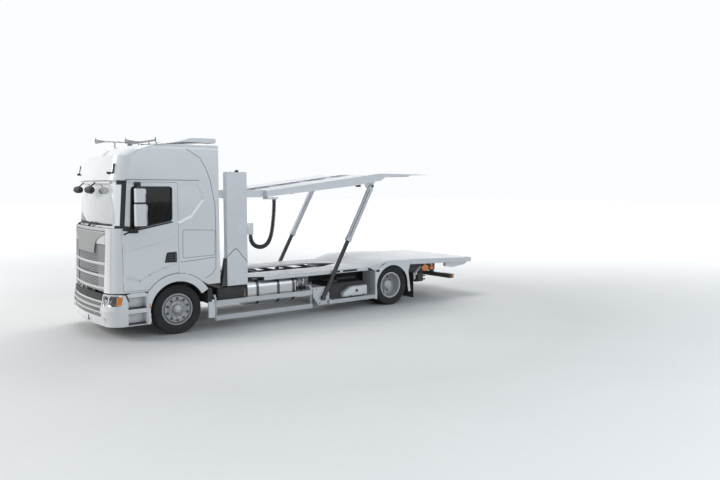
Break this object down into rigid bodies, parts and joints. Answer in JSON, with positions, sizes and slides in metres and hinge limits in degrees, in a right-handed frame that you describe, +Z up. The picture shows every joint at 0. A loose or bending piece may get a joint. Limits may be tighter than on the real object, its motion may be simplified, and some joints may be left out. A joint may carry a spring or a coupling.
{
  "type": "car transporter truck",
  "caption": "Rigid car transporter truck with a forward-control cab, lower deck, and an upper deck carried by front towers and slanting rams.",
  "frame": {"origin": "centre of the bounding box's base, on the ground", "axes": "+X to the truck's rear, +Y to its right, +Z up"},
  "size_m": [9.4373, 3.04, 3.778],
  "materials": {
    "white_paint": "gloss",
    "roof_white": "satin",
    "deck_paint": "satin",
    "deck_plate": "satin",
    "tower_paint": "gloss",
    "guard_paint": "satin",
    "silver_paint": "satin",
    "rim_silver": "satin",
    "grille_grey": "satin",
    "black_frame": "satin",
    "dark_iron": "rough",
    "black_plastic": "matte",
    "cab_trim": "matte",
    "mirror_housing": "gloss",
    "seat_fabric": "woven",
    "tank_aluminium": "brushed",
    "strap_steel": "brushed",
    "bar_steel": "polished",
    "ram_post": "satin",
    "ram_sleeve": "satin",
    "tinted_glass": "clear",
    "lamp_glass": "clear",
    "amber_lamp": "gloss",
    "tyre_rubber": "matte",
    "black_rubber": "matte",
    "hose_rubber": "matte"
  },
  "bodies": {
    "chassis": {"frame_rails": "black_frame", "cross_members": "black_frame", "engine_block": "dark_iron", "propshaft": "dark_iron", "radiator": "black_plastic", "front_axle": "dark_iron", "rear_axle": "dark_iron", "air_springs": "black_rubber", "front_bumper": "white_paint", "step_treads": "black_plastic", "headlamps": "lamp_glass", "bumper_grille": "silver_paint", "front_fenders": "white_paint", "fender_liners": "black_plastic", "side_boxes": "black_plastic", "fuel_tanks": "tank_aluminium", "tank_straps": "strap_steel", "side_guards": "guard_paint", "ram_feet": "tower_paint", "tool_boxes": "guard_paint", "deck_tracks": "deck_paint", "deck_rear": "deck_paint", "rear_fenders": "white_paint", "towers": "tower_paint", "deck_supports": "black_frame", "rear_beam": "black_frame", "tail_lamps": "amber_lamp", "tow_coupling": "black_frame", "deck_hose": "hose_rubber"},
    "cab": {"cab_shell": "white_paint", "windscreen": "tinted_glass", "cab_grille": "grille_grey", "dashboard": "cab_trim", "seats": "seat_fabric", "roof_unit": "roof_white", "roof_bar": "bar_steel"},
    "carriage": {"lift_carriage": "tower_paint"},
    "upper_deck": {"upper_frame": "deck_paint", "upper_plates": "deck_plate"},
    "knuckle_left": {"knuckle_left": "dark_iron"},
    "front_wheel_left": {"front_tyre_left": "tyre_rubber", "front_rim_left": "rim_silver"},
    "rear_wheel_left": {"rear_tyres_left": "tyre_rubber", "rear_rims_left": "rim_silver"},
    "door_left": {"door_left": "white_paint", "door_glass_left": "tinted_glass", "mirror_left": "mirror_housing"},
    "ram_post_left": {"ram_post_left": "ram_post"},
    "ram_sleeve_left": {"ram_sleeve_left": "ram_sleeve"},
    "knuckle_right": {"knuckle_right": "dark_iron"},
    "front_wheel_right": {"front_tyre_right": "tyre_rubber", "front_rim_right": "rim_silver"},
    "rear_wheel_right": {"rear_tyres_right": "tyre_rubber", "rear_rims_right": "rim_silver"},
    "door_right": {"door_right": "white_paint", "door_glass_right": "tinted_glass", "mirror_right": "mirror_housing"},
    "ram_post_right": {"ram_post_right": "ram_post"},
    "ram_sleeve_right": {"ram_sleeve_right": "ram_sleeve"}
  },
  "joints": [
    {"name": "steer_left", "type": "hinge", "parent": "chassis", "child": "knuckle_left", "pos_m": [-3.305, -0.86, 0.475], "axis": [0, 0, 1], "range_deg": [-40, 40]},
    {"name": "steer_right", "type": "hinge", "parent": "chassis", "child": "knuckle_right", "pos_m": [-3.305, 0.86, 0.475], "axis": [0, 0, 1], "range_deg": [-41, 41]},
    {"name": "front_roll_left", "type": "hinge", "parent": "knuckle_left", "child": "front_wheel_left", "pos_m": [-3.305, -1.045, 0.475], "axis": [0, 1, 0], "continuous": true},
    {"name": "front_roll_right", "type": "hinge", "parent": "knuckle_right", "child": "front_wheel_right", "pos_m": [-3.305, 1.045, 0.475], "axis": [0, 1, 0], "continuous": true},
    {"name": "rear_roll_left", "type": "hinge", "parent": "chassis", "child": "rear_wheel_left", "pos_m": [1.995, -1.09, 0.475], "axis": [0, 1, 0], "continuous": true},
    {"name": "rear_roll_right", "type": "hinge", "parent": "chassis", "child": "rear_wheel_right", "pos_m": [1.995, 1.09, 0.475], "axis": [0, 1, 0], "continuous": true},
    {"name": "cab_tilt", "type": "hinge", "parent": "chassis", "child": "cab", "pos_m": [-4.58, 0, 0.63], "axis": [0, -1, 0], "range_deg": [0, 60]},
    {"name": "door_open_left", "type": "hinge", "parent": "cab", "child": "door_left", "pos_m": [-4.335, -1.245, 1.8], "axis": [0, 0, -1], "range_deg": [0, 70]},
    {"name": "door_open_right", "type": "hinge", "parent": "cab", "child": "door_right", "pos_m": [-4.335, 1.245, 1.8], "axis": [0, 0, 1], "range_deg": [0, 70]},
    {"name": "deck_lift", "type": "slide", "parent": "chassis", "child": "carriage", "axis": [0, 0, 1], "range_m": [-1.1, 0], "deforming": ["deck_hose"]},
    {"name": "deck_tilt", "type": "hinge", "parent": "carriage", "child": "upper_deck", "pos_m": [-1.305, 0, 2.68], "axis": [0, 1, 0], "range_deg": [-0.2, 6.9]},
    {"name": "ram_swing_left", "type": "hinge", "parent": "chassis", "child": "ram_post_left", "pos_m": [0.047, -1.205, 0.362], "axis": [0, 1, 0], "range_deg": [-0.5, 24.5]},
    {"name": "ram_slide_left", "type": "slide", "parent": "ram_post_left", "child": "ram_sleeve_left", "axis": [0.4798, 0, 0.8774], "range_m": [-1.11, 0.005]},
    {"name": "ram_swing_right", "type": "hinge", "parent": "chassis", "child": "ram_post_right", "pos_m": [0.047, 1.205, 0.362], "axis": [0, 1, 0], "range_deg": [-0.5, 24.5]},
    {"name": "ram_slide_right", "type": "slide", "parent": "ram_post_right", "child": "ram_sleeve_right", "axis": [0.4798, 0, 0.8774], "range_m": [-1.11, 0.005]}
  ],
  "couplings": [
    {"joint": "steer_right", "follows": "steer_left", "ratio": 1},
    {"joint": "deck_tilt", "follows": "deck_lift", "rad_per_m": -0.10631},
    {"joint": "ram_swing_left", "follows": "deck_lift", "rad_per_m": -0.36956},
    {"joint": "ram_slide_left", "follows": "deck_lift", "ratio": 1.0027},
    {"joint": "ram_swing_right", "follows": "deck_lift", "rad_per_m": -0.36956},
    {"joint": "ram_slide_right", "follows": "deck_lift", "ratio": 1.0027}
  ]
}
